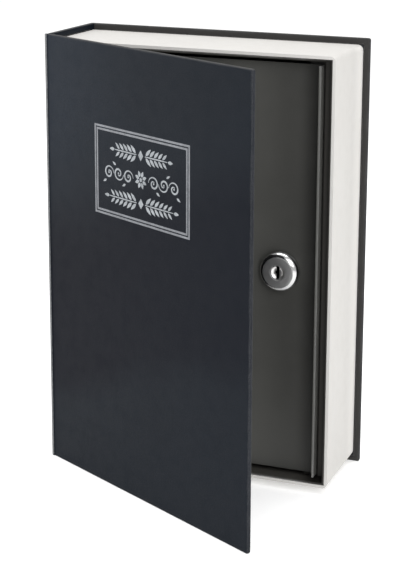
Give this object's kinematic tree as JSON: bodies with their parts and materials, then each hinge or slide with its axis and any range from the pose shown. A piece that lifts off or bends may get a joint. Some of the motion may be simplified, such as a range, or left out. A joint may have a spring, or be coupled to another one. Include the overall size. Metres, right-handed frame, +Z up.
{
  "type": "book diversion safe",
  "caption": "Steel cash box with a locking hinged lid, hidden in a hollow imitation hardback book with an opening front cover.",
  "frame": {"origin": "on the standing surface, at the middle of the spine's foot", "axes": "+Z up along the spine, +X from the spine to the fore-edge, +Y from the front cover to the back cover"},
  "size_m": [0.1627, 0.1308, 0.236],
  "materials": {
    "cover_cloth": "matt navy leatherette book cloth",
    "greyboard": "raw grey board",
    "lining_paper": "matt dark end paper",
    "page_plastic": "off-white moulding with fine page lines",
    "grey_enamel": "satin dark grey enamel",
    "zinc_steel": "zinc plated",
    "lock_chrome": "bright nickel-chrome plating",
    "plug_steel": "turned, satin plated",
    "wafer_brass": "stamped",
    "title_foil": "stamped silver-grey foil"
  },
  "bodies": {
    "safe": {"back_cover_cloth": "cover_cloth", "back_cover_board": "greyboard", "back_cover_lining": "lining_paper", "spine_cloth": "cover_cloth", "spine_board": "greyboard", "spine_lining": "lining_paper", "rear_joint_cloth": "cover_cloth", "page_shell": "page_plastic", "box_tray": "grey_enamel", "tray_rivet_1": "zinc_steel", "tray_rivet_2": "zinc_steel", "tray_rivet_3": "zinc_steel", "tray_rivet_4": "zinc_steel", "catch_angle": "grey_enamel", "catch_rivet_1": "zinc_steel", "catch_rivet_2": "zinc_steel", "catch_rivet_3": "zinc_steel", "hinge_leaf_fixed": "grey_enamel", "leaf_rivet_1": "zinc_steel", "leaf_rivet_2": "zinc_steel", "leaf_rivet_3": "zinc_steel", "hinge_pin": "zinc_steel"},
    "cover_joint": {"front_joint_cloth": "cover_cloth"},
    "front_cover": {"front_cover_cloth": "cover_cloth", "front_cover_board": "greyboard", "front_cover_lining": "lining_paper"},
    "lid": {"hinge_leaf_moving": "grey_enamel", "lid_plate": "grey_enamel", "lid_rivet_1": "zinc_steel", "lid_rivet_2": "zinc_steel", "lid_rivet_3": "zinc_steel", "lock_body": "lock_chrome", "lock_washer": "zinc_steel", "lock_nut": "zinc_steel"},
    "lock_core": {"lock_plug": "plug_steel", "wafer_1": "wafer_brass", "wafer_2": "wafer_brass", "wafer_3": "wafer_brass", "wafer_4": "wafer_brass", "wafer_5": "wafer_brass", "cam": "zinc_steel", "cam_washer": "zinc_steel", "cam_screw": "zinc_steel"}
  },
  "joints": [
    {"name": "lid_hinge", "type": "hinge", "parent": "safe", "child": "lid", "pos_m": [0.00675, -0.0204, 0.118], "axis": [0, 0, -1], "range_deg": [0, 90]},
    {"name": "joint_fold", "type": "hinge", "parent": "safe", "child": "cover_joint", "pos_m": [-0.0009, -0.02715, 0.118], "axis": [0, 0, -1], "range_deg": [0, 90]},
    {"name": "cover_hinge", "type": "hinge", "parent": "cover_joint", "child": "front_cover", "pos_m": [-0.0009, -0.02715, 0.118], "axis": [0, 0, -1], "range_deg": [-28, 137]},
    {"name": "lock_turn", "type": "hinge", "parent": "lid", "child": "lock_core", "pos_m": [0.12765, -0.0181, 0.118], "axis": [0, 1, 0], "range_deg": [0, 90]}
  ],
  "couplings": [
    {"joint": "joint_fold", "follows": "lid_hinge", "ratio": 1}
  ]
}
